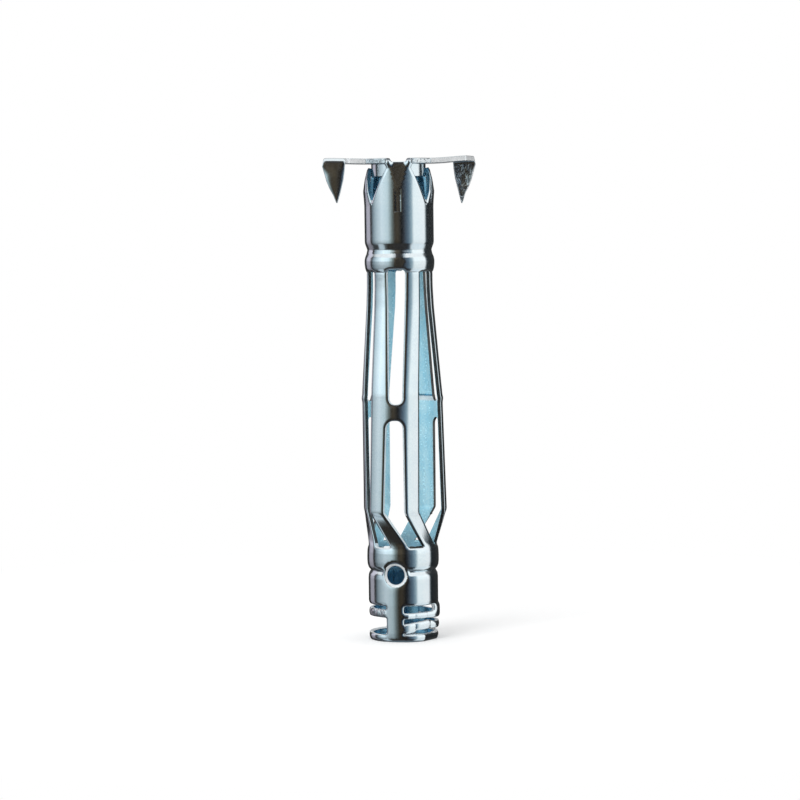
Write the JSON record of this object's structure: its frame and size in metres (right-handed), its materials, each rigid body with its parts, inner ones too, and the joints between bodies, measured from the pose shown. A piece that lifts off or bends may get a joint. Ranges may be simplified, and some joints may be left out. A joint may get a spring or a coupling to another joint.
{
  "type": "hollow wall anchor",
  "caption": "Folded sheet-steel hollow wall anchor with a clawed flange, a beaded sleeve, a pre-bent cage of straps that folds out behind the wall, and a threaded end collar.",
  "frame": {"origin": "centre of the end collar's rim, on the anchor's axis", "axes": "+Z along the axis from the end collar to the flange, X along the flange's arms, -Y the front that the picture shows"},
  "size_m": [0.0176, 0.01, 0.0565],
  "materials": {
    "plated_steel": "bright zinc plating with a pale blue passivation"
  },
  "bodies": {
    "root": {"anchor_sleeve": "plated_steel"}
  },
  "joints": []
}
